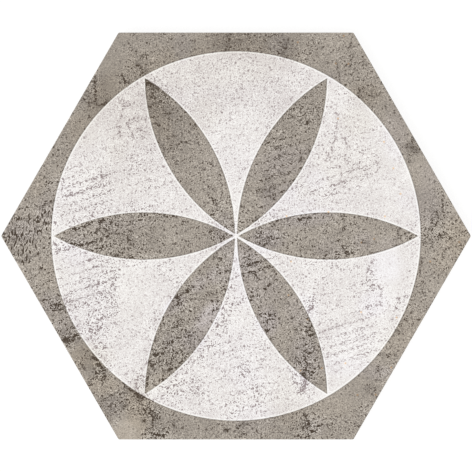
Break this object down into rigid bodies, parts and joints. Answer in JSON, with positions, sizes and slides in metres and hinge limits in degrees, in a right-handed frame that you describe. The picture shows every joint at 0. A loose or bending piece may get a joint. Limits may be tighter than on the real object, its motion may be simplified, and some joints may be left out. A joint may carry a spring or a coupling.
{
  "type": "hexagon floor tile",
  "caption": "Flat floor tile, a regular hexagon of matt glazed porcelain stoneware, printed with a petal rosette in a pale disc, its back keyed for adhesive.",
  "frame": {"origin": "middle of the back, level with the ribs and rim that the tile lies on", "axes": "+Z out of the glazed face, +X to a corner, +Y square to a straight side; the printed rosette's petals point at the corners, one of them along +X"},
  "size_m": [0.2652, 0.23, 0.01],
  "materials": {
    "glazed_stoneware": "matt glaze printed as worn cement: pale disc and six taupe petals on a taupe border"
  },
  "bodies": {
    "root": {"hexagon_tile": "glazed_stoneware"}
  },
  "joints": []
}
